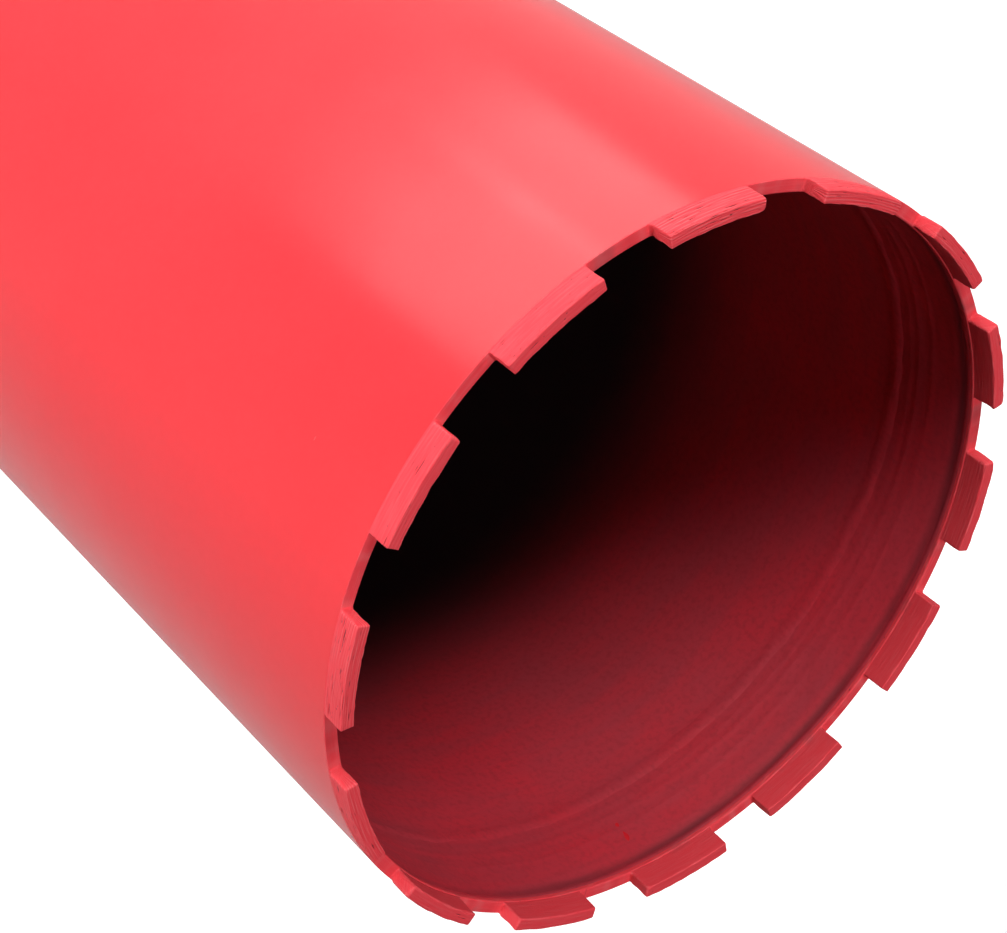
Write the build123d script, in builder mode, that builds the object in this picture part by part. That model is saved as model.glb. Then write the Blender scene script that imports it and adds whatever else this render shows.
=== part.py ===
from build123d import *
import math
import os

os.makedirs("parts", exist_ok=True)

# Diamond core bit for wet drilling: a thin steel barrel with a segmented crown at its top and a
# threaded hub at its foot. Millimetres; the axis is Z and z = 0 is the hub's end face.

# barrel and crown
cut_diameter = 177.8  # over the outer faces of the segments
side_relief = 0.25  # how far the segments stand proud of the barrel, each side
tube_wall = 2.8
barrel_length = 375.0  # from the open foot of the barrel to the crown ring's joint
crown_ring_height = 25.0
lip_proud = 0.25  # drawn-in mouth of the crown ring
lip_height = 1.8
lip_ramp = 0.5  # slope between the lip and the bore
mouth_bevel = 0.4  # inner edge of the mouth

# cutting segments
segment_count = 14
segment_length = 24.0  # along the arc at mid thickness
segment_thickness = 3.15
segment_height = 6.2  # above the crown ring
segment_foot = 0.8  # height of the ground run-out at the foot of the outer face
segment_corner = 0.6  # bevel of the upright corners
segment_edge = 0.3  # bevel round the cutting face
segment_shift = (-0.7, -0.5, -0.1, 0.6, 0.5, 0.7, 0.6, 0.7, -0.6, 0.2, -0.2, 0.0, -0.4, -0.8)
# degrees off the even pitch, since each segment is set by hand

# butt weld between the barrel and the crown ring
weld_gap = 1.0  # root gap
weld_angle = 30.0  # each flank of the V
root_width = 3.2  # bead that shows in the bore
root_proud = 0.35

# back plate
plate_thickness = 10.0
plate_recess = 3.0  # plate sits this far inside the foot of the barrel
plate_clearance = 0.1  # radial, plate in barrel
plate_bevel = 1.0  # inner rim
bead_bulge = 0.5  # crown of a corner weld over its flat

# hub with a 1-1/4 inch UNC female thread, bored to the thread's crests
hub_diameter = 50.0
hub_projection = 28.0  # end face to the back plate
hub_spigot_diameter = 42.0  # runs through the plate
hub_spigot_clearance = 0.1
hub_spigot_stand = 2.0  # past the plate's inner face
thread_minor_diameter = 28.2
thread_major_diameter = 31.75  # the lead-in at the hub's mouth clears it
thread_lead_clearance = 0.3
hub_chamfer = 1.0
spanner_size = 41.0  # across the two flats
spanner_height = 14.0
spanner_offset = 6.0  # collar left between the end face and the flats
hub_bead = 4.0  # leg of the weld round the hub

# radii and levels that follow from the sizes above
cut_radius = cut_diameter / 2
tube_radius = cut_radius - side_relief
bore_radius = tube_radius - tube_wall
lip_radius = bore_radius - lip_proud
segment_inner_radius = cut_radius - segment_thickness
segment_arc = math.degrees(segment_length / (cut_radius - segment_thickness / 2))

plate_back = hub_projection
plate_front = plate_back + plate_thickness
barrel_foot = plate_back - plate_recess
joint_level = barrel_foot + barrel_length
mouth_level = joint_level + crown_ring_height
tip_level = mouth_level + segment_height
weld_flare = weld_gap / 2 + tube_wall * math.tan(math.radians(weld_angle))


# Barrel: plain tube, its top end bevelled for the weld
with BuildPart() as barrel_tube:
    with BuildSketch(Plane.XZ):
        with BuildLine():
            Polyline(
                (bore_radius, barrel_foot),
                (tube_radius, barrel_foot),
                (tube_radius, joint_level - weld_flare),
                (bore_radius, joint_level - weld_gap / 2),
                close=True,
            )
        make_face()
    revolve(axis=Axis.Z)
barrel_tube.part.label = "barrel_tube"
export_step(barrel_tube.part, "parts/barrel_tube.step")


# Crown ring: short ring that carries the segments, with a lip drawn in at its mouth
with BuildPart() as crown_ring:
    with BuildSketch(Plane.XZ):
        with BuildLine():
            Polyline(
                (bore_radius, joint_level + weld_gap / 2),
                (tube_radius, joint_level + weld_flare),
                (tube_radius, mouth_level),
                (lip_radius, mouth_level),
                (lip_radius, mouth_level - lip_height),
                (bore_radius, mouth_level - lip_height - lip_ramp),
                close=True,
            )
        make_face()
    revolve(axis=Axis.Z)
    mouth_edges = crown_ring.edges().filter_by(GeomType.CIRCLE).group_by(Axis.Z)[-1]
    chamfer(mouth_edges.sort_by(SortBy.RADIUS)[0], mouth_bevel)
crown_ring.part.label = "crown_ring"
export_step(crown_ring.part, "parts/crown_ring.step")


# Butt weld: fills the V flush with the outside and leaves a rounded root bead in the bore
with BuildPart() as ring_weld:
    with BuildSketch(Plane.XZ):
        with BuildLine():
            Polyline(
                (bore_radius, joint_level - root_width / 2),
                (bore_radius, joint_level - weld_gap / 2),
                (tube_radius, joint_level - weld_flare),
                (tube_radius, joint_level + weld_flare),
                (bore_radius, joint_level + weld_gap / 2),
                (bore_radius, joint_level + root_width / 2),
            )
            ThreePointArc(
                (bore_radius, joint_level + root_width / 2),
                (bore_radius - root_proud, joint_level),
                (bore_radius, joint_level - root_width / 2),
            )
        make_face()
    revolve(axis=Axis.Z)
ring_weld.part.label = "ring_weld"
export_step(ring_weld.part, "parts/ring_weld.step")


# Back plate: turned disc set into the foot of the barrel, bored for the hub
with BuildPart() as back_plate:
    with BuildSketch(Plane.XY.offset(plate_back)):
        Circle(bore_radius - plate_clearance)
        Circle(hub_spigot_diameter / 2 + hub_spigot_clearance, mode=Mode.SUBTRACT)
    extrude(amount=plate_thickness)
    chamfer(
        back_plate.faces().sort_by(Axis.Z)[-1].outer_wire().edges(),
        plate_bevel,
    )
back_plate.part.label = "back_plate"
export_step(back_plate.part, "parts/back_plate.step")


# Hub: turned boss with a collar at its end face, two spanner flats and a spigot through the plate
with BuildPart() as threaded_hub:
    with BuildSketch(Plane.XZ):
        with BuildLine():
            Polyline(
                (thread_minor_diameter / 2, 0),
                (hub_diameter / 2, 0),
                (hub_diameter / 2, plate_back),
                (hub_spigot_diameter / 2, plate_back),
                (hub_spigot_diameter / 2, plate_front + hub_spigot_stand),
                (thread_minor_diameter / 2, plate_front + hub_spigot_stand),
                close=True,
            )
        make_face()
    revolve(axis=Axis.Z)
    end_rims = threaded_hub.faces().sort_by(Axis.Z)[0].edges().sort_by(SortBy.RADIUS)
    chamfer(end_rims[-1], hub_chamfer)
    lead_in = (thread_major_diameter - thread_minor_diameter) / 2 + thread_lead_clearance
    chamfer(end_rims[0], lead_in)
    inner_rims = threaded_hub.faces().sort_by(Axis.Z)[-1].edges()
    chamfer(inner_rims, hub_chamfer)
    with BuildSketch(Plane.XY.offset(spanner_offset)) as flats:
        Rectangle(hub_diameter * 2, hub_diameter * 2)
        Rectangle(hub_diameter * 2, spanner_size, mode=Mode.SUBTRACT)
    extrude(amount=spanner_height, mode=Mode.SUBTRACT)
threaded_hub.part.label = "threaded_hub"
export_step(threaded_hub.part, "parts/threaded_hub.step")


# Section of a weld in the corner between an upright wall and the back plate above it: a leg along
# each, and a face in three facets that crowns over the straight line between the toes. side is +1
# where the bead lies outside the wall and -1 where it lies inside.
def corner_bead(wall_radius, leg, side):
    third = leg / 3
    crown = bead_bulge / math.sqrt(2)
    return [
        (wall_radius, plate_back),
        (wall_radius, plate_back - leg),
        (wall_radius + side * (third + crown), plate_back - leg + third - crown),
        (wall_radius + side * (leg - third + crown), plate_back - third - crown),
        (wall_radius + side * leg, plate_back),
    ]


# Corner weld between the barrel's foot and the back plate
with BuildPart() as plate_weld:
    with BuildSketch(Plane.XZ):
        with BuildLine():
            Polyline(corner_bead(bore_radius, plate_recess, -1), close=True)
        make_face()
    revolve(axis=Axis.Z)
plate_weld.part.label = "plate_weld"
export_step(plate_weld.part, "parts/plate_weld.step")


# Corner weld round the hub
with BuildPart() as hub_weld:
    with BuildSketch(Plane.XZ):
        with BuildLine():
            Polyline(corner_bead(hub_diameter / 2, hub_bead, 1), close=True)
        make_face()
    revolve(axis=Axis.Z)
hub_weld.part.label = "hub_weld"
export_step(hub_weld.part, "parts/hub_weld.step")


# Cutting segments: arc blocks on the crown ring's end face. The outer face starts flush with the
# ring and runs out to the cutting diameter; the upright corners and the cutting face are bevelled.
for index in range(segment_count):
    with BuildPart() as segment:
        with BuildSketch(Plane.XZ):
            with BuildLine():
                Polyline(
                    (segment_inner_radius, mouth_level),
                    (tube_radius, mouth_level),
                    (cut_radius, mouth_level + segment_foot),
                    (cut_radius, tip_level),
                    (segment_inner_radius, tip_level),
                    close=True,
                )
            make_face()
        revolve(axis=Axis.Z, revolution_arc=segment_arc)
        chamfer(segment.edges().filter_by(Axis.Z), segment_corner)
        chamfer(segment.faces().sort_by(Axis.Z)[-1].edges(), segment_edge)
    shift = segment_shift[index % len(segment_shift)]
    placed = segment.part.rotate(Axis.Z, index * 360 / segment_count + shift - segment_arc / 2)
    placed.label = f"segment_{index + 1:02d}"
    export_step(placed, f"parts/segment_{index + 1:02d}.step")
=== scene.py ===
import bpy
import math
import numpy as np
from mathutils import Matrix, Vector


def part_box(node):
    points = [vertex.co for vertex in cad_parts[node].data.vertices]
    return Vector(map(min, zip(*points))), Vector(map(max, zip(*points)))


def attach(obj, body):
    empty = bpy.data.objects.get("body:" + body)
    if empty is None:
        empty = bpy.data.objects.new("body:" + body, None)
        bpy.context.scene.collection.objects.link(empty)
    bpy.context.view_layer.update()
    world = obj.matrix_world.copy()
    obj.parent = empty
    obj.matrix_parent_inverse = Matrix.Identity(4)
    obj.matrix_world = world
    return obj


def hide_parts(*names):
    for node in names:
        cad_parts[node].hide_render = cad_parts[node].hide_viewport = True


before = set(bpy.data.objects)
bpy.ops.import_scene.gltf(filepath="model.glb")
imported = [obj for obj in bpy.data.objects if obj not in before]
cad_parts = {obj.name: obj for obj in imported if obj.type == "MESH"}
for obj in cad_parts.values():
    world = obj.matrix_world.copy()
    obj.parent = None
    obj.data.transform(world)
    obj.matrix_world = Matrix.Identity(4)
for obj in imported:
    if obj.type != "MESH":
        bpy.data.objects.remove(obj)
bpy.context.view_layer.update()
print("frame loaded:", len(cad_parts), "nodes")

mm = 0.001
scene = bpy.context.scene
scene.view_settings.view_transform = "Standard"

# ---- levels of the bit, read from the frame's own boxes
level = {
    "foot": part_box("barrel_tube")[0][2],  # open foot of the barrel
    "mouth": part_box("segment_01")[0][2],  # end face of the crown ring
    "plate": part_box("back_plate")[0][2],
    "plateTop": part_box("back_plate")[1][2],
    "hubTop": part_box("threaded_hub")[1][2],
}
level["joint"] = (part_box("ring_weld")[0][2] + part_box("ring_weld")[1][2]) / 2
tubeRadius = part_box("barrel_tube")[1][0]
wallThickness = 2.8 * mm
boreRadius = tubeRadius - wallThickness


# ---- shapes
# a mesh from grids of points: each grid is rows x columns x 3, joined by quads and wrapped where told;
# a capped grid has its first and last rows closed by strips across the loop
def gridMesh(name, grids, smoothAngle=35):
    points, quads, base = [], [], 0
    for grid, wrapRows, wrapColumns, capped in grids:
        rows, columns = grid.shape[:2]
        index = np.arange(rows * columns).reshape(rows, columns) + base
        if capped:
            k = np.arange(columns // 2 - 1)
            strip = np.stack([k, k + 1, columns - 2 - k, columns - 1 - k], -1)
            quads += [index[0][strip], index[-1][strip[:, ::-1]]]
        if wrapRows:
            index = np.concatenate([index, index[:1]], 0)
        if wrapColumns:
            index = np.concatenate([index, index[:, :1]], 1)
        quads.append(np.stack([index[:-1, :-1], index[1:, :-1], index[1:, 1:], index[:-1, 1:]], -1).reshape(-1, 4))
        points.append(grid.reshape(-1, 3))
        base += rows * columns
    points, quads = np.concatenate(points), np.concatenate(quads)
    a, b, c, d = (points[quads[:, k]] for k in range(4))
    volume = np.einsum("ij,ij->i", a, np.cross(b, c)).sum() + np.einsum("ij,ij->i", a, np.cross(c, d)).sum()
    if volume < 0:
        quads = quads[:, ::-1]
    mesh = bpy.data.meshes.new(name)
    mesh.vertices.add(len(points))
    mesh.vertices.foreach_set("co", points.astype(np.float32).ravel())
    mesh.loops.add(quads.size)
    mesh.loops.foreach_set("vertex_index", quads.astype(np.int32).ravel())
    mesh.polygons.add(len(quads))
    mesh.polygons.foreach_set("loop_start", np.arange(0, quads.size, 4, dtype=np.int32))
    mesh.polygons.foreach_set("use_smooth", np.ones(len(quads), bool))
    mesh.update(calc_edges=True)
    mesh.set_sharp_from_angle(angle=math.radians(smoothAngle))
    piece = bpy.data.objects.new(name, mesh)
    scene.collection.objects.link(piece)
    return piece


# a closed outline with each corner replaced by an arc: a corner of radius r is cut r tan(turn/2) short on both sides
def roundedOutline(corners, radii, steps=5):
    corners = np.array(corners, float)
    out = []
    for k, radius in enumerate(radii):
        here, before, after = corners[k], corners[k - 1], corners[(k + 1) % len(corners)]
        u, v = before - here, after - here
        lu, lv = np.linalg.norm(u), np.linalg.norm(v)
        u, v = u / lu, v / lv
        turn = math.pi - math.acos(np.clip(u @ v, -1, 1))
        if radius <= 0 or turn < 1e-3:
            out.append(here[None])
            continue
        cut = min(radius * math.tan(turn / 2), 0.45 * lu, 0.45 * lv)
        radius = cut / math.tan(turn / 2)
        centre = here + (u + v) / np.linalg.norm(u + v) * math.hypot(radius, cut)
        start, end = here + u * cut - centre, here + v * cut - centre
        t = np.linspace(0, 1, steps)[:, None]
        arc = np.sin((1 - t) * turn) * start + np.sin(t * turn) * end
        out.append(centre + arc / np.linalg.norm(arc, axis=1, keepdims=True) * radius)
    return np.concatenate(out)


# an outline with points added so that no step is longer than the given one
def finerOutline(outline, step):
    nextOnes = np.roll(outline, -1, 0)
    counts = np.maximum(1, np.ceil(np.linalg.norm(nextOnes - outline, axis=1) / step).astype(int))
    which = np.repeat(np.arange(len(outline)), counts)
    share = (np.arange(counts.sum()) - np.repeat(np.cumsum(counts) - counts, counts)) / np.repeat(counts, counts)
    return outline[which] + (nextOnes - outline)[which] * share[:, None]


# points of (radius, angle, height) arrays: (r cos a, r sin a, z)
def around(r, a, z):
    r, a, z = np.broadcast_arrays(r, a, z)
    return np.stack([r * np.cos(a), r * np.sin(a), z], -1)


# a closed (radius, height) outline turned about Z in equal steps of angle
def turnedGrid(outline, count):
    a = np.linspace(0, 2 * math.pi, count, endpoint=False)[:, None]
    return around(outline[None, :, 0], a, outline[None, :, 1])


# smooth unevenness: a sum of sines of u and v whose wave lengths lie in the given spans, within -1 to 1
def unevenness(seed, u, v, spanU, spanV, waves=9):
    rng = np.random.default_rng(seed)
    total = 0
    for k in range(waves):
        fu, fv = 1 / rng.uniform(*spanU), 1 / rng.uniform(*spanV)
        total = total + np.sin(2 * math.pi * (fu * u * rng.choice([-1, 1]) + fv * v + rng.random()))
    return total / (1.6 * math.sqrt(waves))


# the same round the axis: whole numbers of waves to the turn, so that it closes
def lobes(seed, a, v, spanLobes, spanV, waves=9):
    rng = np.random.default_rng(seed)
    total = 0
    for k in range(waves):
        count, fv = rng.integers(*spanLobes) * rng.choice([-1, 1]), 1 / rng.uniform(*spanV)
        total = total + np.sin(count * a + 2 * math.pi * (fv * v + rng.random()))
    return total / (1.6 * math.sqrt(waves))


# 0 before the start, 1 after the end, 3t^2 - 2t^3 between
def smoothStep(x, start, end):
    t = np.clip((x - start) / (end - start), 0, 1)
    return t * t * (3 - 2 * t)


# a bump of height 1 and width w: exp of minus (x/w) squared
def bell(x, width):
    return np.exp(-(x / width) ** 2)


def addField(piece, name, values):
    field = piece.data.attributes.new(name, "FLOAT", "POINT")
    field.data.foreach_set("value", np.ascontiguousarray(values, dtype=np.float32).ravel())


# further materials of a piece, each on the faces whose centre has (radius, height) inside its zone
def coat(piece, zones):
    centres = np.empty(len(piece.data.polygons) * 3, np.float32)
    piece.data.polygons.foreach_get("center", centres)
    x, y, z = centres.reshape(-1, 3).T
    index = np.zeros(len(x), np.int32)
    for material, inside in zones:
        index[inside(np.hypot(x, y), z)] = len(piece.data.materials)
        piece.data.materials.append(material)
    piece.data.polygons.foreach_set("material_index", index)


def dress(piece, node, material):
    piece.data.materials.append(material)
    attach(piece, "root")
    if node:
        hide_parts(node)
    return piece


# ---- materials
# adds one shader node; each input is a plain value or another node's output
def addNode(tree, kind, settings=None, **inputs):
    node = tree.nodes.new("ShaderNode" + kind)
    for key, value in (settings or {}).items():
        setattr(node, key, value)
    for key, value in inputs.items():
        socket = node.inputs[int(key[1:]) if key[1:].isdigit() else key]
        if isinstance(value, bpy.types.NodeSocket):
            tree.links.new(value, socket)
        else:
            socket.default_value = value
    return node


def calc(tree, operation, a, b=0.0, clamp=False):
    return addNode(tree, "Math", {"operation": operation, "use_clamp": clamp}, i0=a, i1=b).outputs[0]


# from start where value is at low to end where it is at high, straight between
def span(tree, value, low, high, start, end):
    return addNode(tree, "MapRange", {"clamp": True}, i0=value, i1=low, i2=high, i3=start, i4=end).outputs[0]


def ramp(tree, value, low, high):
    return span(tree, value, low, high, 0.0, 1.0)


def mixColour(tree, share, a, b):
    return addNode(tree, "Mix", {"data_type": "RGBA"}, i0=share, i6=a, i7=b).outputs[2]


# a colour laid over a tone, at the given share of a mask
def tint(tree, tone, mask, share, colour):
    return mixColour(tree, calc(tree, "MULTIPLY", mask, share), tone, colour)


def noise(tree, vector, scale, detail=2.0, rough=0.5):
    return addNode(tree, "TexNoise", None, Vector=vector, Scale=scale, Detail=detail, Roughness=rough).outputs[0]


def newMaterial(name):
    material = bpy.data.materials.new(name)
    material.use_nodes = True
    tree = material.node_tree
    tree.nodes.clear()
    shader = tree.nodes.new("ShaderNodeBsdfPrincipled")
    out = tree.nodes.new("ShaderNodeOutputMaterial")
    tree.links.new(shader.outputs["BSDF"], out.inputs["Surface"])
    return material, tree, shader


# place on the bit: the object's own point, its depth under the mouth, its x and y, and a point stretched so that a
# pattern on it runs long round the axis and short across: (x, y, (z - r) * stretch)
def placeOnBit(tree, stretch=12.0):
    point = addNode(tree, "TexCoord").outputs["Object"]
    parts = addNode(tree, "SeparateXYZ", None, i0=point).outputs
    flat = addNode(tree, "CombineXYZ", None, i0=parts[0], i1=parts[1]).outputs[0]
    radius = addNode(tree, "VectorMath", {"operation": "LENGTH"}, i0=flat).outputs["Value"]
    depth = calc(tree, "SUBTRACT", level["mouth"], parts[2])
    across = calc(tree, "MULTIPLY", calc(tree, "SUBTRACT", parts[2], radius), stretch)
    long = addNode(tree, "CombineXYZ", None, i0=parts[0], i1=parts[1], i2=across).outputs[0]
    return {"point": point, "depth": depth, "long": long, "x": parts[0], "y": parts[1]}


def bumps(tree, shader, layers):
    normal = None
    for height, strength, distance in layers:
        node = addNode(tree, "Bump", None, Height=height, Strength=strength, Distance=distance)
        if normal:
            tree.links.new(normal, node.inputs["Normal"])
        normal = node.outputs[0]
    tree.links.new(normal, shader.inputs["Normal"])


# small spots: cells of the given size, some of them holding a spot of about the given radius
def spots(tree, vector, cell, radius, chosen):
    cells = addNode(tree, "TexVoronoi", {"feature": "F1"}, Vector=vector, Scale=1 / cell, Randomness=1.0)
    pick = addNode(tree, "SeparateColor", None, i0=cells.outputs["Color"]).outputs[0]
    size = calc(tree, "MULTIPLY", ramp(tree, pick, 1 - chosen, 1.0), radius / cell)
    return calc(tree, "LESS_THAN", cells.outputs["Distance"], size)


paintTone = {
    "red": (0.92, 0.025, 0.036, 1),
    "pale": (0.925, 0.031, 0.043, 1),  # thinner coat
    "deep": (0.86, 0.022, 0.032, 1),
    "speck": (0.16, 0.020, 0.025, 1),
    "dust": (1.0, 0.45, 0.45, 1),
    "roughness": 0.22,
    "specular": 0.42,
}


# satin enamel: cloudy shade, orange peel, a few pin holes and dust specks
def makeBarrelPaint():
    material, tree, shader = newMaterial("barrelPaint")
    place = placeOnBit(tree)
    cloud = noise(tree, place["point"], 22.0, 3.0)
    grain = noise(tree, place["point"], 420.0, 2.0)
    tone = mixColour(tree, ramp(tree, cloud, 0.3, 0.7), paintTone["red"], paintTone["pale"])
    tone = tint(tree, tone, ramp(tree, grain, 0.35, 0.75), 0.25, paintTone["deep"])
    dark = spots(tree, place["point"], 0.026, 0.0009, 0.5)
    tone = tint(tree, tone, dark, 0.55, paintTone["speck"])
    pale = spots(tree, place["long"], 0.055, 0.0020, 0.15)
    tone = tint(tree, tone, pale, 0.5, paintTone["dust"])
    tree.links.new(tone, shader.inputs["Base Color"])
    gloss = span(tree, noise(tree, place["point"], 60.0, 2.0), 0.3, 0.7, paintTone["roughness"] - 0.015,
                 paintTone["roughness"] + 0.02)
    tree.links.new(gloss, shader.inputs["Roughness"])
    shader.inputs["Specular IOR Level"].default_value = paintTone["specular"]
    bumps(tree, shader, [(grain, 0.4, 0.00002), (noise(tree, place["point"], 90.0, 1.0), 0.4, 0.00006)])
    return material


boreTone = {
    # a darker red than the barrel's: partly the thinner overspray, partly painted shade inside the bore
    "red": (0.80, 0.037, 0.062, 1),
    "dull": (0.64, 0.050, 0.076, 1),
    "deep": (0.50, 0.022, 0.036, 1),
    "bareAndShade": (0.036, 0.015, 0.018, 1),  # where the overspray runs out, and painted shade deep in the bore
    "fade": (0.062, 0.124),  # depths under the mouth between which the coat thins to bare and darkens into painted shade
    "line": (0.070, 0.012, 0.018, 1),  # painted shadow under the lip
    "lineAt": 3.3 * mm, "lineWidth": 1.3 * mm, "lineSide": 255,  # depth and half width of the painted shadow under the lip, and the side where it is heaviest
    "roughness": 0.52,
    "specular": 0.7,
}


# overspray in the bore: thinner and darker with depth, partly the coat running out and partly painted shade, dull
# patches, rings, and a painted shadow line behind the lip
def makeBorePaint():
    material, tree, shader = newMaterial("borePaint")
    place = placeOnBit(tree, 9.0)
    cloud = noise(tree, place["point"], 34.0, 4.0)
    streak = noise(tree, place["long"], 26.0, 4.0)
    grain = noise(tree, place["point"], 700.0, 2.0)
    both = calc(tree, "ADD", calc(tree, "MULTIPLY", cloud, 0.6), calc(tree, "MULTIPLY", streak, 0.4))
    tone = mixColour(tree, ramp(tree, both, 0.38, 0.62), boreTone["red"], boreTone["dull"])
    tone = tint(tree, tone, ramp(tree, grain, 0.45, 0.75), 0.45, boreTone["deep"])
    # painted shade deep in the bore, along with the coat running out: the colour goes to near black with depth
    thinningAndShade = addNode(tree, "MapRange", {"interpolation_type": "SMOOTHERSTEP"}, i0=place["depth"],
                   i1=boreTone["fade"][0], i2=boreTone["fade"][1]).outputs[0]
    tone = mixColour(tree, thinningAndShade, tone, boreTone["bareAndShade"])
    # painted shadow under the lip: a dark band at a fixed depth, heavier towards one side and broken into patches
    off = calc(tree, "DIVIDE", calc(tree, "SUBTRACT", place["depth"], boreTone["lineAt"]), boreTone["lineWidth"])
    band = calc(tree, "POWER", math.e, calc(tree, "MULTIPLY", calc(tree, "MULTIPLY", off, off), -1.0))
    side = math.radians(boreTone["lineSide"])
    toward = calc(tree, "ADD", calc(tree, "MULTIPLY", place["x"], math.cos(side) / boreRadius),
                  calc(tree, "MULTIPLY", place["y"], math.sin(side) / boreRadius))
    shadedSide = span(tree, toward, -0.4, 0.7, 0.30, 0.85)
    patchy = span(tree, streak, 0.3, 0.65, 0.35, 1.0)
    lipShadowMask = calc(tree, "MULTIPLY", calc(tree, "MULTIPLY", band, shadedSide), patchy, clamp=True)
    tone = mixColour(tree, lipShadowMask, tone, boreTone["line"])
    tree.links.new(tone, shader.inputs["Base Color"])
    shader.inputs["Roughness"].default_value = boreTone["roughness"]
    shader.inputs["Specular IOR Level"].default_value = boreTone["specular"]
    turned = noise(tree, place["long"], 260.0, 3.0, 0.6)
    bumps(tree, shader, [(grain, 0.5, 0.00003), (streak, 0.4, 0.0001), (turned, 0.5, 0.00006)])
    return material


segmentTone = {
    "red": (0.92, 0.055, 0.074, 1),
    # dusty streaks and marks, and the painted highlight on the segments' striation ridges
    "dust": (0.92, 0.165, 0.180, 1),
    # painted shade in the segments' striation grooves, and darker streaks on the ring's end face
    "low": (0.78, 0.034, 0.048, 1),
    # painted shade in the segments' pits and cracks, and dark marks on the ring's end face
    "hollowShadeAndMarks": (0.16, 0.020, 0.026, 1),
    "braze": (0.28, 0.085, 0.095, 1),  # grey patches at the foot
    "roughness": 0.6,
    "specular": 0.22,
}


# painted sintered metal: matt, streaked round the axis, with painted shade in its pits and cracks, and painted
# highlight and shade along its striations
def makeSegmentPaint():
    material, tree, shader = newMaterial("segmentPaint")
    place = placeOnBit(tree, 16.0)
    streak = noise(tree, place["long"], 150.0, 4.0, 0.6)
    grain = noise(tree, place["point"], 1500.0, 3.0, 0.6)
    hollow = addNode(tree, "Attribute", {"attribute_name": "hollow"}).outputs["Fac"]
    tone = tint(tree, segmentTone["red"], ramp(tree, streak, 0.45, 0.75), 0.35, segmentTone["dust"])
    lines = addNode(tree, "Attribute", {"attribute_name": "lines"}).outputs["Fac"]
    # on the segments, paler on the striations' ridges and on rounded edges: painted highlight on the ridges
    tone = tint(tree, tone, ramp(tree, lines, 0.55, 0.95), 0.7, segmentTone["dust"])
    # on the segments, darker in the striations' grooves: painted shade
    tone = tint(tree, tone, ramp(tree, lines, 0.45, 0.05), 0.6, segmentTone["low"])
    foot = ramp(tree, place["depth"], -0.0011, 0.0001)
    patch = ramp(tree, noise(tree, place["point"], 75.0, 3.0), 0.56, 0.66)
    tone = tint(tree, tone, calc(tree, "MULTIPLY", foot, patch), 0.4, segmentTone["braze"])
    # painted shade: darker the deeper the pits and cracks sink
    tone = mixColour(tree, ramp(tree, hollow, 0.25, 0.9), tone, segmentTone["hollowShadeAndMarks"])
    tree.links.new(tone, shader.inputs["Base Color"])
    shader.inputs["Roughness"].default_value = segmentTone["roughness"]
    shader.inputs["Specular IOR Level"].default_value = segmentTone["specular"]
    bumps(tree, shader, [(grain, 0.6, 0.00006), (streak, 0.8, 0.00012)])
    return material


steelTone = {"bright": (0.62, 0.60, 0.57, 1), "dull": (0.40, 0.38, 0.36, 1), "roughness": 0.34}


# bare turned steel: fine tool marks and dull patches
def makeSteel():
    material, tree, shader = newMaterial("turnedSteel")
    place = placeOnBit(tree, 30.0)
    marks = noise(tree, place["long"], 120.0, 4.0, 0.6)
    cloud = noise(tree, place["point"], 70.0, 4.0)
    tone = mixColour(tree, ramp(tree, cloud, 0.4, 0.7), steelTone["bright"], steelTone["dull"])
    tree.links.new(tone, shader.inputs["Base Color"])
    shader.inputs["Metallic"].default_value = 1.0
    shader.inputs["Roughness"].default_value = steelTone["roughness"]
    bumps(tree, shader, [(marks, 0.6, 0.00006)])
    return material


barrelPaint = makeBarrelPaint()
borePaint = makeBorePaint()
segmentPaint = makeSegmentPaint()
steel = makeSteel()
print("finishes made")

# ---- barrel: a thin tube, its foot edges rounded and its top end under the ring weld
barrelShape = {"footEdge": 0.5 * mm, "around": 480, "step": 9 * mm}


def makeBarrel():
    foot, top, edge = level["foot"], level["joint"], barrelShape["footEdge"]
    outline = roundedOutline([(boreRadius, foot), (tubeRadius, foot), (tubeRadius, top), (boreRadius, top)],
                             [edge, edge, 0, 0])
    grid = turnedGrid(finerOutline(outline, barrelShape["step"]), barrelShape["around"])
    piece = gridMesh("barrel", [(grid, True, True, False)])
    dress(piece, "barrel_tube", barrelPaint)
    coat(piece, [(borePaint, lambda r, z: (r < tubeRadius - 0.5 * mm) & (z > level["plate"] + mm))])


# ---- crown ring: the short ring that carries the segments
crownShape = {
    "lip": 0.25 * mm,  # how far the mouth is drawn in
    "lipHeight": 1.7 * mm,
    "lipFade": 1.1 * mm,
    "mouthEdge": 0.45 * mm,
    "outerEdge": 0.12 * mm,
    "fineBelow": 6 * mm,  # rows lie closer above this depth
    "painted": 1.1 * mm,  # how far the segments' finish runs down the end face's edge
    "groove": (0.10, 3.3, 1.1),  # behind the lip: depth, level under the mouth and half width, in mm
    "rolls": ((6.2, 0.035, 0.9), (13.2, 0.045, 0.8), (17.6, 0.05, 0.9), (20.4, 0.03, 0.7)),  # level, height, width
    "wander": 0.04 * mm,
    "around": 720,
}


# the bore's radius at a height: lip, soft groove behind it and faint rings, each a bell in height
def crownBore(z):
    under = level["mouth"] - z
    start = crownShape["lipHeight"]
    r = boreRadius - crownShape["lip"] * (1 - smoothStep(under, start, start + crownShape["lipFade"]))
    depth, at, width = crownShape["groove"]
    r = r + depth * mm * bell(under - at * mm, width * mm)
    for at, height, width in crownShape["rolls"]:
        r = r - height * mm * bell(under - at * mm, width * mm)
    return r


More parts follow.
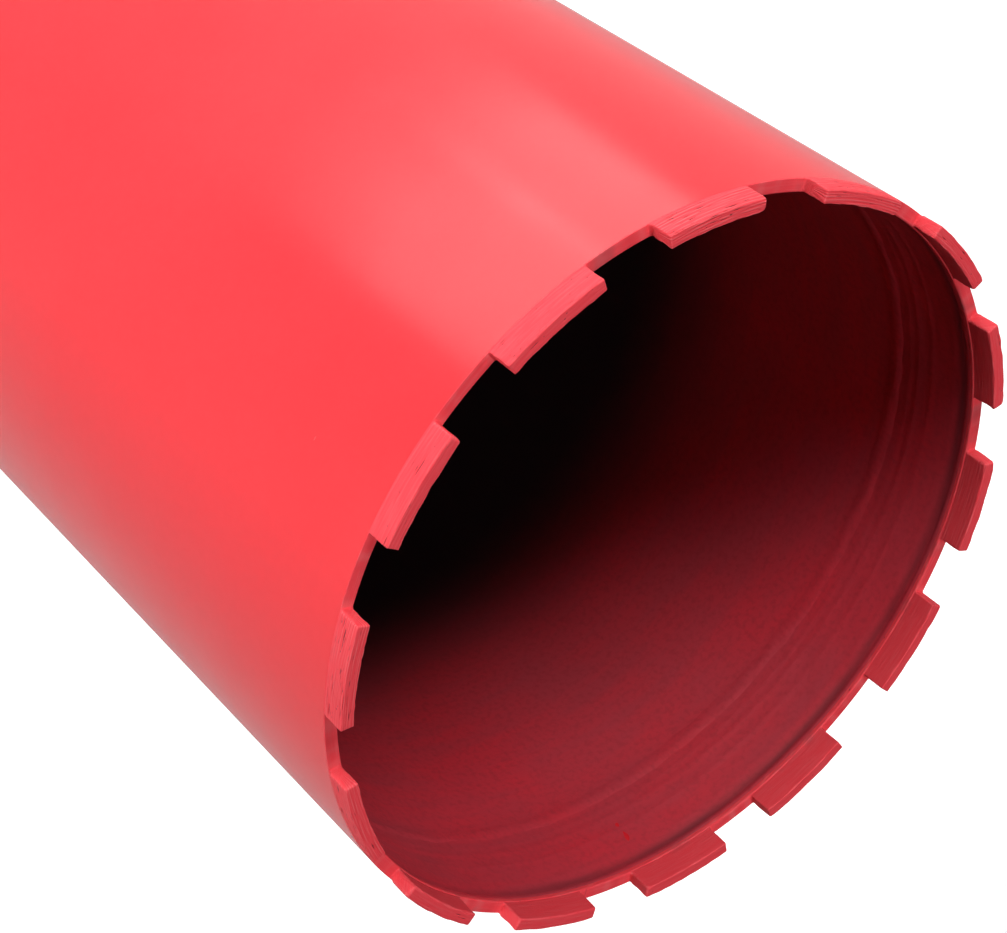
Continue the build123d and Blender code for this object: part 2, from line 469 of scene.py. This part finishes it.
def makeCrownRing():
    bottom, top, edge = level["joint"], level["mouth"], crownShape["mouthEdge"]
    fine = top - crownShape["fineBelow"]
    z = np.concatenate([np.linspace(bottom, fine, 60), np.linspace(fine + 0.1 * mm, top - edge, 40)])
    inner = np.stack([crownBore(z), z], -1)
    t = np.linspace(0, math.pi / 2, 7)[1:, None]
    lip = np.array([inner[-1, 0] + edge, top - edge]) + edge * np.concatenate([-np.cos(t), np.sin(t)], 1)
    t = np.linspace(0, 1, 9)[:, None]
    outside = np.array([tubeRadius, top]) + (np.array([tubeRadius, bottom]) - np.array([tubeRadius, top])) * t
    outside[0] += (-crownShape["outerEdge"], 0)
    outside[1] = (tubeRadius, top - crownShape["outerEdge"])
    outline = np.concatenate([inner, lip, outside])
    a = np.linspace(0, 2 * math.pi, crownShape["around"], endpoint=False)[:, None]
    r, z = outline[None, :, 0], outline[None, :, 1]
    inside = np.clip((tubeRadius - 0.6 * mm - r) / (2 * mm), 0, 1)
    r = r + inside * crownShape["wander"] * lobes(3, a, z, (3, 40), (9 * mm, 30 * mm))
    piece = gridMesh("crownRing", [(around(r, a, z), True, True, False)])
    dress(piece, "crown_ring", barrelPaint)
    coat(piece, [(borePaint, lambda r, z: r < tubeRadius - 0.5 * mm),
                 (segmentPaint, lambda r, z: (r < tubeRadius - 0.05 * mm) & (z > top - crownShape["painted"]))])
    addField(piece, "lines", 0.52 + 0.30 * lobes(5, a, z, (20, 160), (0.5 * mm, 2 * mm)))
    addField(piece, "hollow", np.maximum(0, lobes(6, a, z, (40, 300), (0.8 * mm, 3 * mm)) - 0.8))


# ---- ring weld: flush outside, a rippled root bead in the bore
ringWeldShape = {"width": 4.4 * mm, "proud": 0.20 * mm, "ripple": 1.7 * mm, "depth": 0.045 * mm, "around": 1800,
                 "rootHalf": 1.5 * mm, "rootUnder": 0.4 * mm}


# bead of height p (1 - v^2), v from -1 to 1 across it, dipped by a cosine of the angle whose phase lags as v^2
def makeRingWeld():
    shape = ringWeldShape
    v = np.linspace(-1, 1, 15)
    a = np.linspace(0, 2 * math.pi, shape["around"], endpoint=False)[:, None]
    count = round(2 * math.pi * boreRadius / shape["ripple"])
    wave = 0.5 - 0.5 * np.cos(count * a + 2.2 * v ** 2 + 1.4 * lobes(11, a, v, (5, 60), (2, 6)))
    height = shape["proud"] * (0.86 + 0.14 * lobes(12, a, v, (4, 50), (2, 6))) - shape["depth"] * wave
    r = boreRadius - height * (1 - v ** 2) + 0.02 * mm
    side = 1 + 0.12 * lobes(13, a, v * 0, (4, 70), (1, 2))
    z = level["joint"] + v * shape["width"] / 2 * side
    deep = level["joint"] + shape["rootHalf"] * np.array([1, -1]) + 0 * a
    r = np.concatenate([r, 0 * deep + tubeRadius - shape["rootUnder"]], 1)
    z = np.concatenate([z, deep], 1)
    piece = gridMesh("ringWeld", [(around(r, a, z), True, True, False)], 60)
    dress(piece, "ring_weld", borePaint)


paintRunShape = {"azimuth": 177.7, "drift": 1.3, "start": 8.6 * mm, "end": 17.6 * mm, "half": 1.1 * mm,
                 "proud": 0.06 * mm, "sunk": 0.3 * mm, "rows": 60, "columns": 13}


# a run of thick paint down the bore: height p (1 - v^2) sqrt(sin(pi s)), s down it and v across it, with beads as
# sines of s, on a path that drifts round the axis
def makePaintRun():
    shape = paintRunShape
    s = np.linspace(0, 1, shape["rows"])[:, None]
    v = np.linspace(-1, 1, shape["columns"])[None, :]
    swell = np.sqrt(np.sin(math.pi * np.clip(s, 0.004, 0.996)))
    half = shape["half"] * swell * (0.75 + 0.25 * np.sin(9 * s + 1))
    height = shape["proud"] * swell * (0.7 + 0.3 * np.sin(14 * s)) * (1 - v ** 2) - 0.015 * mm
    a = math.radians(shape["azimuth"]) + math.radians(shape["drift"]) * (s - 0.5 + 0.12 * np.sin(7 * s))
    a = a + v * half / boreRadius
    z = level["mouth"] - shape["start"] - (shape["end"] - shape["start"]) * s + 0 * v
    top, under = around(boreRadius - height, a, z), around(boreRadius + shape["sunk"] + 0 * height, a, z)
    piece = gridMesh("paintRun", [(np.concatenate([top, under[:, ::-1]], 1), False, True, True)], 60)
    dress(piece, None, barrelPaint)


makeBarrel()
makeCrownRing()
makeRingWeld()
makePaintRun()
print("barrel, crown ring and weld made")

# ---- back plate: a turned disc in the foot of the barrel
plateShape = {"clearance": 0.1 * mm, "hole": 21.1 * mm, "bevel": 1.0 * mm, "edge": 0.3 * mm, "around": 260,
              "dish": 0.05 * mm, "dishAt": 50 * mm, "dishWidth": 22 * mm, "feed": 1.8 * mm, "mark": 0.012 * mm,
              "step": 0.45 * mm}


# a ring-shaped section turned about Z, both faces lightly grooved by a sine of the radius
def makeBackPlate():
    shape = plateShape
    rim, hole, low, high = boreRadius - shape["clearance"], shape["hole"], level["plate"], level["plateTop"]
    corners = [(hole, low), (rim, low), (rim, high - shape["bevel"]), (rim - shape["bevel"], high), (hole, high)]
    radii = [0, shape["edge"], 0.2 * mm, 0.2 * mm, shape["edge"]]
    outline = finerOutline(roundedOutline(corners, radii), shape["step"])
    r, z = outline[:, 0], outline[:, 1]
    middle = (low + high) / 2
    face = smoothStep(r, hole + mm, hole + 2 * mm) * (1 - smoothStep(r, rim - 2.2 * mm, rim - 1.6 * mm))
    groove = shape["mark"] * (1 - np.cos(2 * math.pi * r / shape["feed"]))
    groove = groove + shape["dish"] * bell(r - shape["dishAt"], shape["dishWidth"])
    z = z - np.sign(z - middle) * face * groove
    grid = turnedGrid(np.stack([r, z], -1), shape["around"])
    piece = gridMesh("backPlate", [(grid, True, True, False)])
    dress(piece, "back_plate", barrelPaint)
    coat(piece, [(borePaint, lambda r, z: z > middle + mm)])


# ---- corner welds: the plate to the barrel's foot, and the hub to the plate
plateWeldShape = {"wall": boreRadius, "side": -1, "leg": 3.0 * mm, "bulge": 0.45 * mm, "ripple": 2.1 * mm,
                  "depth": 0.22 * mm, "around": 1560, "seed": 21}
hubWeldShape = {"wall": 25.0 * mm, "side": 1, "leg": 4.0 * mm, "bulge": 0.5 * mm, "ripple": 2.3 * mm,
                "depth": 0.26 * mm, "around": 720, "seed": 31}


# bead across the corner: toes on the wall and the plate, crowned by bulge (1 - v^2) square to the line between
# them, dipped by a cosine of the angle whose phase lags as v^2
def makeCornerWeld(name, node, shape):
    v = np.linspace(-1, 1, 17)[None, :]
    a = np.linspace(0, 2 * math.pi, shape["around"], endpoint=False)[:, None]
    leg, side, seed = shape["leg"], shape["side"], shape["seed"]
    count = round(2 * math.pi * shape["wall"] / shape["ripple"])
    wave = 0.5 - 0.5 * np.cos(count * a + 2.6 * v ** 2 + 1.2 * lobes(seed, a, v, (3, 40), (2, 6)))
    height = shape["bulge"] * (0.9 + 0.1 * lobes(seed + 1, a, v, (3, 40), (2, 6))) - shape["depth"] * wave
    height = height * (1 - v ** 2)
    t = (v + 1) / 2
    reach = 0.94 + 0.05 * lobes(seed + 2, a, v * 0, (4, 50), (1, 2))
    alongWall, alongPlate = (1 - t) * leg * reach, t * leg * reach
    r = shape["wall"] + side * (alongPlate + height / math.sqrt(2))
    z = level["plate"] - alongWall - height / math.sqrt(2)
    root = 0.15 * mm
    r = np.concatenate([r, r[:, -1:] * 0 + shape["wall"] - side * root], 1)
    z = np.concatenate([z, z[:, -1:] * 0 + level["plate"] + root], 1)
    piece = gridMesh(name, [(around(r, a, z), True, True, False)], 60)
    dress(piece, node, barrelPaint)


# ---- hub: a turned boss with two spanner flats and a cut thread
hubShape = {
    "radius": 25.0 * mm, "spigot": 21.0 * mm, "chamfer": 1.0 * mm, "edge": 0.15 * mm,
    "flat": 20.5 * mm, "flatLow": 6.0 * mm, "flatHigh": 20.0 * mm,
    "minor": 14.1 * mm, "major": 15.875 * mm, "pitch": 25.4 / 7 * mm, "leadIn": 16.175 * mm,
    "columns": 180, "rowStep": 0.16 * mm,
}


# outside: r = min(radius, flat / |sin a|) between the flats' levels; inside: the thread's groove follows the helix
# height = pitch x turns, a 60 degree V with flat crest and root, and the chamfers cut it at both ends
def makeHub():
    shape = hubShape
    corner = math.asin(shape["flat"] / shape["radius"])
    a = np.linspace(0, 2 * math.pi, shape["columns"], endpoint=False)
    for edge in (corner, math.pi - corner, math.pi + corner, 2 * math.pi - corner):
        a[np.argmin(abs(a - edge))] = edge
    a = a[:, None]
    radius, chamfer, top = shape["radius"], shape["chamfer"], level["hubTop"]
    outer = roundedOutline(
        [(shape["leadIn"], 0), (radius - chamfer, 0), (radius, chamfer), (radius, level["plate"] + 0.2 * mm),
         (shape["spigot"], level["plate"] + 0.2 * mm), (shape["spigot"], top - chamfer),
         (shape["spigot"] - chamfer, top), (shape["minor"] + chamfer, top)],
        [0, shape["edge"], shape["edge"], 0, 0, shape["edge"], shape["edge"], 0], 4)
    wall = np.concatenate([np.linspace(chamfer * 1.3, shape["flatLow"], 4), [shape["flatLow"] + 0.06 * mm],
                           np.linspace(shape["flatLow"] + 0.4 * mm, shape["flatHigh"] - 0.4 * mm, 8),
                           [shape["flatHigh"] - 0.06 * mm], np.linspace(shape["flatHigh"], level["plate"], 5)])
    cut = np.argmax(outer[:, 1] > level["plate"])
    outer = np.concatenate([outer[:cut], np.stack([wall * 0 + radius, wall], -1), outer[cut:]])
    r = np.broadcast_to(outer[None, :, 0], (len(a), len(outer)))
    z = np.broadcast_to(outer[None, :, 1], r.shape)
    between = (z > shape["flatLow"] + 0.03 * mm) & (z < shape["flatHigh"] - 0.03 * mm)
    r = np.where(between, np.minimum(r, shape["flat"] / np.maximum(abs(np.sin(a)), 0.1)), r)
    inZ = np.arange(top - 0.05 * mm, 0.05 * mm, -shape["rowStep"])[None, :]
    turn = (inZ / shape["pitch"] - a / (2 * math.pi)) % 1
    groove = np.clip(1.25 * (1 - abs(2 * turn - 1)) - 0.125, 0, 1)
    fade = np.clip((top - chamfer * 2 - inZ) / (2 * mm), 0, 1)
    inR = shape["minor"] + (shape["major"] - shape["minor"]) * groove * fade
    inR = np.maximum(inR, np.maximum(shape["leadIn"] - inZ, shape["minor"] + chamfer - (top - inZ)))
    r = np.concatenate([r, inR], 1)
    z = np.concatenate([z, inZ + 0 * a], 1)
    piece = gridMesh("hub", [(around(r, a, z), True, True, False)], 30)
    dress(piece, "threaded_hub", barrelPaint)
    coat(piece, [(borePaint, lambda r, z: z > level["plate"]),
                 (steel, lambda r, z: (r < shape["leadIn"] + 0.5 * mm) & (z < top - mm) | (z < 0.1 * mm))])


makeBackPlate()
makeCornerWeld("plateWeld", "plate_weld", plateWeldShape)
makeCornerWeld("hubWeld", "hub_weld", hubWeldShape)
makeHub()
print("plate, corner welds and hub made")

# ---- segments: sintered blocks, each worn and finished a little differently
segmentShape = {
    "length": 24.0 * mm, "inner": 85.75 * mm, "outer": 88.9 * mm, "height": 6.19 * mm,
    "foot": 0.9 * mm,  # run-out at the foot of the outer face
    "sunk": 0.45 * mm,  # how far the block reaches into the ring, out of sight
    "fillet": 0.45 * mm,  # braze at the foot of the end faces
    "stepAlong": 0.42 * mm, "stepAcross": 0.115 * mm,
    "striation": 0.045 * mm, "bump": 0.030 * mm, "deepest": 0.2 * mm,
    "pits": (44, 0.16, 0.14, 0.13),  # number, then length, width and depth in mm
    "cracks": (44, 0.9, 0.09, 0.13),
    "endReach": 1.6 * mm,  # how far the end edges' own rounding reaches
}
# shift off the even pitch in degrees; rounding of the edges in mm at the start and end of the arc and in the middle;
# finish: share of tangential striation, of cast bumps, of pits, of cracks
segmentStyles = [
    (-0.7, (1.3, 0.45, 0.40), (0.9, 0.4, 0.4, 1.0)),
    (-0.5, (0.55, 0.35, 0.38), (0.25, 0.6, 1.0, 0.15)),
    (-0.1, (0.7, 0.35, 0.34), (0.35, 0.4, 0.3, 0.2)),
    (0.6, (0.5, 0.35, 0.35), (1.0, 0.3, 0.4, 1.0)),
    (0.5, (0.6, 0.5, 0.35), (0.8, 0.4, 0.4, 0.7)),
    (0.7, (0.9, 0.5, 0.5), (0.3, 0.4, 0.3, 0.2)),
    (0.6, (0.6, 0.6, 0.4), (0.2, 0.3, 0.2, 0.0)),
    (0.7, (0.7, 0.35, 0.3), (0.2, 0.3, 0.2, 0.0)),
    (-0.6, (0.4, 0.4, 0.3), (0.3, 0.2, 0.2, 0.1)),
    (0.2, (0.3, 0.4, 0.3), (0.2, 0.2, 0.1, 0.0)),
    (-0.2, (0.5, 0.7, 0.4), (0.5, 0.3, 0.2, 0.2)),
    (0.0, (0.6, 0.6, 0.4), (0.4, 0.3, 0.2, 0.2)),
    (-0.4, (0.7, 0.5, 0.4), (0.5, 0.3, 0.3, 0.3)),
    (-0.8, (1.3, 0.4, 0.35), (0.9, 0.3, 0.3, 0.8)),
]


# a block in (arc, radius, height): closed loops across it, stepped along the arc and then drawn together over each
# end face; every point of the block is pulled to its rounded block, p = q + e d/|d|, with q the nearest point of
# the block shrunk by the edge radius e and d = p - q, and then sunk along d by striations, bumps, pits and cracks
def makeSegment(index, shift, edges, finish):
    shape = segmentShape
    length, thick, high = shape["length"], shape["outer"] - shape["inner"], shape["height"]
    rng = np.random.default_rng(100 + index)
    loop = finerOutline(np.array([(thick / 2, -shape["sunk"]), (0, -shape["sunk"]), (0, high), (thick, high),
                                  (thick, -shape["sunk"])]), shape["stepAcross"])
    if len(loop) % 2:
        loop = np.delete(loop, len(loop) - 2, 0)
    near = np.array([0, 0.1, 0.22, 0.38, 0.6, 0.85, 1.1, 1.4]) * mm
    count = round((length - 3.6 * mm) / shape["stepAlong"])
    u = np.concatenate([near, np.linspace(1.8 * mm, length - 1.8 * mm, count), length - near[::-1]]) - length / 2
    shrink = np.array([0.45, 0.72, 0.86, 0.94, 0.98])
    u = np.concatenate([[u[0]] * 5, u, [u[-1]] * 5])[:, None]
    scale = np.concatenate([shrink, np.ones(len(u) - 10), shrink[::-1]])[:, None]
    x = thick / 2 + (loop[None, :, 0] - thick / 2) * scale
    z = -shape["sunk"] + (loop[None, :, 1] + shape["sunk"]) * scale
    u, x, z = np.broadcast_arrays(u, x, z)

    across = np.where(loop[None, :, 0] <= 0, -loop[None, :, 1], high + loop[None, :, 0])  # way round the section
    across = np.where(loop[None, :, 0] >= thick, 2 * high + thick - loop[None, :, 1], across) + 0 * u
    startEdge, endEdge, middle = (e * mm for e in edges)
    worn = 1 + 0.6 * unevenness(200 + index, u, across, (3 * mm, 11 * mm), (4 * mm, 9 * mm))
    half = length / 2
    e = middle * worn + (startEdge - middle) * bell(u + half, shape["endReach"])
    e = e + (endEdge - middle) * bell(u - half, shape["endReach"])
    e = np.clip(e, 0.12 * mm, 1.5 * mm)
    q = np.stack([np.clip(u, -half + e, half - e), np.clip(x, e, thick - e), np.minimum(z, high - e)], -1)
    d = np.stack([u, x, z], -1) - q
    size = np.maximum(np.linalg.norm(d, axis=-1, keepdims=True), 1e-9)
    normal = d / size
    point = q + normal * e[..., None]

    striped, cast, pitted, cracked = finish
    rows = unevenness(300 + index, u, across, (9 * mm, 40 * mm), (0.34 * mm, 1.1 * mm), 14)
    bumps = unevenness(400 + index, u, across, (1.1 * mm, 3.5 * mm), (1.1 * mm, 3.5 * mm), 14)
    sunk = striped * shape["striation"] * (rows + 1) + cast * shape["bump"] * (bumps + 1)
    hollow = 0 * u
    for share, (number, long, wide, deep) in ((pitted, shape["pits"]), (cracked, shape["cracks"])):
        for k in range(round(number * share)):
            at, row = rng.uniform(-0.46, 0.46) * length, rng.uniform(high + 0.3 * thick, 2 * high + thick - 0.2 * mm)
            grow = rng.uniform(0.6, 1.3)
            hollow = hollow + bell(u - at, long * grow * mm) * bell(across - row, wide * mm) * deep * grow
    fade = smoothStep(z, -0.1 * mm, 0.7 * mm)
    point = point - normal * ((sunk + np.minimum(hollow * mm, shape["deepest"])) * fade)[..., None]

    u, x, z = point[..., 0], point[..., 1], point[..., 2]
    flare = shape["fillet"] * (1 - np.sqrt(np.clip(1 - (1 - np.clip(z / shape["fillet"], 0, 1)) ** 2, 0, 1)))
    u = u * (1 + flare / half)
    x = x - (shape["outer"] - tubeRadius + 0.015 * mm) * (1 - smoothStep(z, 0, shape["foot"])) * x / thick
    mid = shape["outer"] - thick / 2
    turn = math.radians(index * 360 / len(segmentStyles) + shift) + u / mid
    name = "segment{:02d}".format(index + 1)
    piece = gridMesh(name, [(around(shape["inner"] + x, turn, level["mouth"] + z), False, True, True)], 50)
    # how deep the pits and cracks sink, which the finish turns into painted shade
    addField(piece, "hollow", np.minimum(hollow / 0.15, 1) * fade)
    edge = 1 - (normal ** 2).max(-1)
    # low in the striations' grooves for painted shade, high on their ridges for painted highlight, and high on the
    # rounded edges
    addField(piece, "lines", 0.5 - 0.62 * striped * rows * fade + 0.7 * edge * (0.6 + 0.4 * bumps))
    dress(piece, "segment_{:02d}".format(index + 1), segmentPaint)


for index, style in enumerate(segmentStyles):
    makeSegment(index, *style)
print("segments made:", len(segmentStyles))

# ---- camera, floor and light
# where the camera stands and how it is turned: rows are its own right, up and back directions
photoView = {
    "place": (0.3187976, 0.25817279, 0.72068888),
    "right": (-0.00983965, -0.80730927, 0.59004655),
    "up": (0.8012474, -0.35939631, -0.478369),
    "back": (0.59825228, 0.46806628, 0.65039078),
    "lens": 85.5695,
}


def makeCamera():
    data = bpy.data.cameras.new("photoCamera")
    data.lens = photoView["lens"]
    data.sensor_width = 36
    data.clip_start, data.clip_end = 0.01, 100
    camera = bpy.data.objects.new("photoCamera", data)
    turn = Matrix((photoView["right"], photoView["up"], photoView["back"])).transposed()
    camera.matrix_world = Matrix.Translation(photoView["place"]) @ turn.to_4x4()
    scene.collection.objects.link(camera)
    scene.camera = camera


makeCamera()

lamps = {
    "key": {"azimuth": 0, "low": (0.95, 0.64), "high": (0.90, 0.98), "width": 0.4, "power": 5.3},
    "fill": {"azimuth": 22, "low": (0.95, 0.34), "high": (0.95, 0.58), "width": 0.6, "power": 2.0},
    "bandLeft": {"azimuth": -24, "low": (0.42, 0.01), "high": (0.9, 0.38), "width": 0.26, "power": 0.95},
    "band": {"azimuth": 10, "low": (0.42, 0.01), "high": (0.9, 0.38), "width": 0.36, "power": 1.6},
    "side": {"azimuth": 80, "low": (0.95, 0.14), "high": (0.95, 0.46), "width": 0.5, "power": 4.1},
    "backRight": {"azimuth": 132, "low": (1.0, 0.16), "high": (1.0, 0.44), "width": 0.5, "power": 0.8},
    "back": {"azimuth": 216, "low": (1.0, 0.04), "high": (1.0, 0.44), "width": 0.7, "power": 2.6},
    "backLeft": {"azimuth": 306, "low": (1.0, 0.20), "high": (1.0, 0.45), "width": 0.5, "power": 0.9},
    "top": {"azimuth": 0, "low": (-0.1, 3.0), "high": (0.1, 3.0), "width": 0.2, "power": 28},
}


# a flat lamp whose lower and upper edges lie at (distance, height) along an azimuth, facing the axis
def makeLamp(name, azimuth, low, high, width, power):
    a = math.radians(azimuth)
    out, side = Vector((math.cos(a), math.sin(a), 0)), Vector((-math.sin(a), math.cos(a), 0))
    bottom, top = out * low[0] + Vector((0, 0, low[1])), out * high[0] + Vector((0, 0, high[1]))
    up = (top - bottom).normalized()
    face = side.cross(up)
    toAxis = Vector((0, 0, 0.3)) - (bottom + top) / 2
    if face.dot(toAxis) > 0:
        face, side = -face, -side
    data = bpy.data.lights.new(name, "AREA")
    data.shape = "RECTANGLE"
    data.size, data.size_y = width, (top - bottom).length
    data.energy = power
    lamp = bpy.data.objects.new(name, data)
    lamp.matrix_world = Matrix.Translation((bottom + top) / 2) @ Matrix((side, up, face)).transposed().to_4x4()
    lamp.visible_camera = False
    scene.collection.objects.link(lamp)


for lampName, lamp in lamps.items():
    makeLamp(lampName, **lamp)

studio = {"world": 0.0, "floor": (0.5, 0.5, 0.5, 1), "floorGlow": 0.86, "inGloss": 0.25,
          "floorHalf": 12.0, "floorUnder": 0.05 * mm}  # just clear of the hub's end face


# 1 for a ray that the camera sees straight or through glass, the studio's share for one in a gloss, and 0 for the
# light on things
def seenRay(tree):
    path = tree.nodes.new("ShaderNodeLightPath").outputs
    gloss = calc(tree, "MULTIPLY", path["Is Glossy Ray"], studio["inGloss"])
    return calc(tree, "MAXIMUM", calc(tree, "MAXIMUM", path["Is Camera Ray"], path["Is Transmission Ray"]), gloss)


def makeStudio():
    world = bpy.data.worlds.new("studio")
    scene.world = world
    world.use_nodes = True
    tree = world.node_tree
    tree.nodes.clear()
    out = tree.nodes.new("ShaderNodeOutputWorld")
    back = tree.nodes.new("ShaderNodeBackground")
    strength = tree.nodes.new("ShaderNodeMix")
    strength.inputs["A"].default_value = studio["world"]
    strength.inputs["B"].default_value = 1.0
    tree.links.new(seenRay(tree), strength.inputs["Factor"])
    tree.links.new(strength.outputs["Result"], back.inputs["Strength"])
    tree.links.new(back.outputs["Background"], out.inputs["Surface"])

    mesh = bpy.data.meshes.new("floor")
    half, z = studio["floorHalf"], -studio["floorUnder"]
    mesh.from_pydata([(-half, -half, z), (half, -half, z), (half, half, z), (-half, half, z)], [], [(0, 1, 2, 3)])
    floor = bpy.data.objects.new("floor", mesh)
    scene.collection.objects.link(floor)
    material = bpy.data.materials.new("floorCard")
    material.use_nodes = True
    tree = material.node_tree
    tree.nodes.clear()
    out = tree.nodes.new("ShaderNodeOutputMaterial")
    matt = tree.nodes.new("ShaderNodeBsdfDiffuse")
    matt.inputs["Color"].default_value = studio["floor"]
    glow = tree.nodes.new("ShaderNodeEmission")
    both = tree.nodes.new("ShaderNodeAddShader")
    tree.links.new(calc(tree, "MULTIPLY", seenRay(tree), studio["floorGlow"]), glow.inputs["Strength"])
    tree.links.new(matt.outputs[0], both.inputs[0])
    tree.links.new(glow.outputs[0], both.inputs[1])
    tree.links.new(both.outputs[0], out.inputs["Surface"])
    mesh.materials.append(material)


makeStudio()
print("camera, lamps and floor placed")
